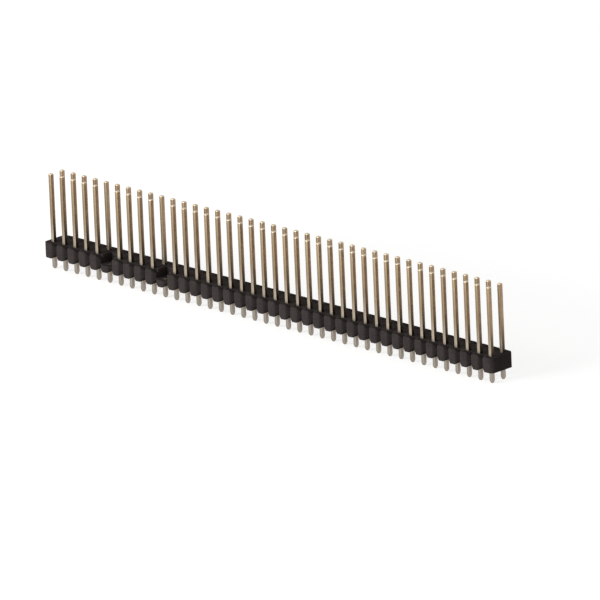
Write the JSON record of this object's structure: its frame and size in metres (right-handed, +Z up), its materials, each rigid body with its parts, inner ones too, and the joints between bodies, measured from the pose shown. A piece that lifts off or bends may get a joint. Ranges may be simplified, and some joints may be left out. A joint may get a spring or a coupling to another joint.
{
  "type": "pin header",
  "caption": "Long strip of square metal pins pressed through a black housing with grooved sides, long ends up for a socket and short tails below for soldering.",
  "frame": {"origin": "middle of the housing's underside, the seating face that lies on the circuit board", "axes": "+X along the strip, +Y from the front row to the back row, +Z up the mating pins"},
  "size_m": [0.1016, 0.005, 0.016],
  "materials": {
    "housing_plastic": "matte, fine-grained",
    "pin_metal": "satin, thin gold plating"
  },
  "bodies": {
    "root": {"housing": "housing_plastic", "pin_pair_01": "pin_metal", "pin_pair_02": "pin_metal", "pin_pair_03": "pin_metal", "pin_pair_04": "pin_metal", "pin_pair_05": "pin_metal", "pin_pair_06": "pin_metal", "pin_pair_07": "pin_metal", "pin_pair_08": "pin_metal", "pin_pair_09": "pin_metal", "pin_pair_10": "pin_metal", "pin_pair_11": "pin_metal", "pin_pair_12": "pin_metal", "pin_pair_13": "pin_metal", "pin_pair_14": "pin_metal", "pin_pair_15": "pin_metal", "pin_pair_16": "pin_metal", "pin_pair_17": "pin_metal", "pin_pair_18": "pin_metal", "pin_pair_19": "pin_metal", "pin_pair_20": "pin_metal", "pin_pair_21": "pin_metal", "pin_pair_22": "pin_metal", "pin_pair_23": "pin_metal", "pin_pair_24": "pin_metal", "pin_pair_25": "pin_metal", "pin_pair_26": "pin_metal", "pin_pair_27": "pin_metal", "pin_pair_28": "pin_metal", "pin_pair_29": "pin_metal", "pin_pair_30": "pin_metal", "pin_pair_31": "pin_metal", "pin_pair_32": "pin_metal", "pin_pair_33": "pin_metal", "pin_pair_34": "pin_metal", "pin_pair_35": "pin_metal", "pin_pair_36": "pin_metal", "pin_pair_37": "pin_metal", "pin_pair_38": "pin_metal", "pin_pair_39": "pin_metal", "pin_pair_40": "pin_metal"}
  },
  "joints": []
}
